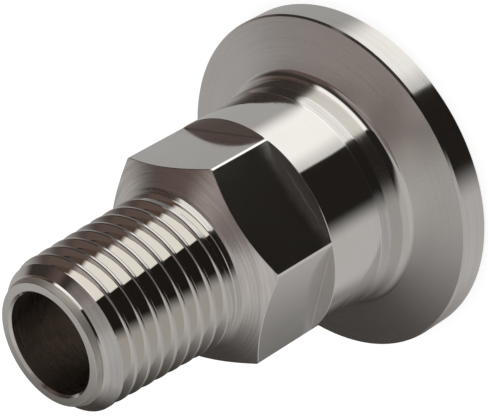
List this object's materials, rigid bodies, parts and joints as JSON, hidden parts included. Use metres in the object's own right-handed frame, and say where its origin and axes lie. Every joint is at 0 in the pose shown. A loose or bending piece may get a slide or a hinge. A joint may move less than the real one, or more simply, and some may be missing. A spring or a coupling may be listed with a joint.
{
  "type": "vacuum flange threaded adapter",
  "caption": "Stainless vacuum adapter: a small clamp flange with a centring recess, a spanner hexagon and a tapered male pipe thread on one through bore.",
  "frame": {"origin": "centre of the flange's sealing face, on the bore axis", "axes": "+Z along the bore axis from the sealing face to the threaded end; +X through the middle of one spanner flat"},
  "size_m": [0.03, 0.03, 0.0345],
  "materials": {
    "turned_steel": "fine turned and milled stainless steel, bare metal"
  },
  "bodies": {
    "root": {"adapter_body": "turned_steel"}
  },
  "joints": []
}
